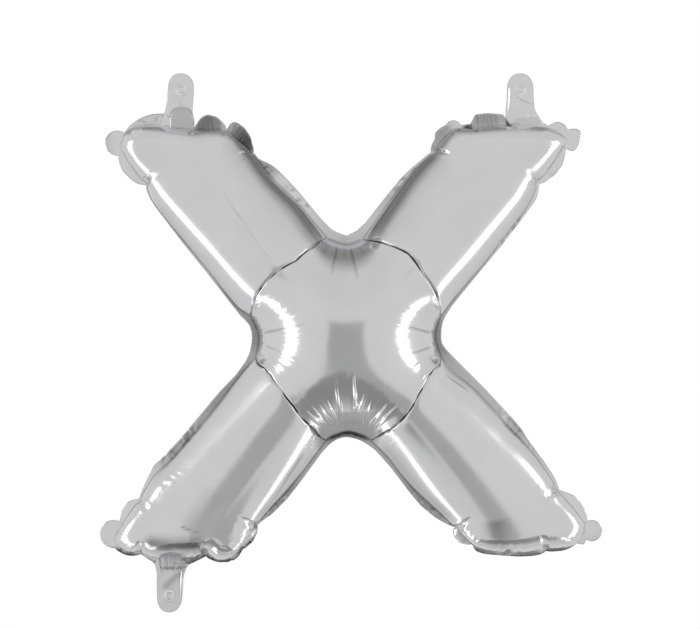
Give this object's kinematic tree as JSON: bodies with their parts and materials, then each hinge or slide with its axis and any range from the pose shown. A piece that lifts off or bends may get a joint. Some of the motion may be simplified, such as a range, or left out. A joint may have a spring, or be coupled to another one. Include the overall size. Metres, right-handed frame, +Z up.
{
  "type": "letter foil balloon, silver letter X",
  "caption": "Air-filled silver foil balloon in the shape of the letter X, with welded margin, hanging tabs and an inflation tab.",
  "frame": {"origin": "middle of the straight line between the centres of the two hanging holes, in the plane of the seam", "axes": "+X to the right as the letter is read, +Y from the letter's front to its back, +Z up"},
  "size_m": [0.4022, 0.12, 0.4312],
  "materials": {
    "silver_foil": "bright metallised film",
    "welded_margin": "crimped metallised film",
    "tab_foil": "satin metallised film"
  },
  "bodies": {
    "root": {"front_foil": "silver_foil", "back_foil": "silver_foil", "seam_band": "welded_margin", "hanging_tab_left": "tab_foil", "hanging_tab_right": "tab_foil", "inflation_tab": "tab_foil", "hanging_hole_disc_left": "tab_foil", "hanging_hole_disc_right": "tab_foil", "inflation_hole_disc": "tab_foil"}
  },
  "joints": []
}
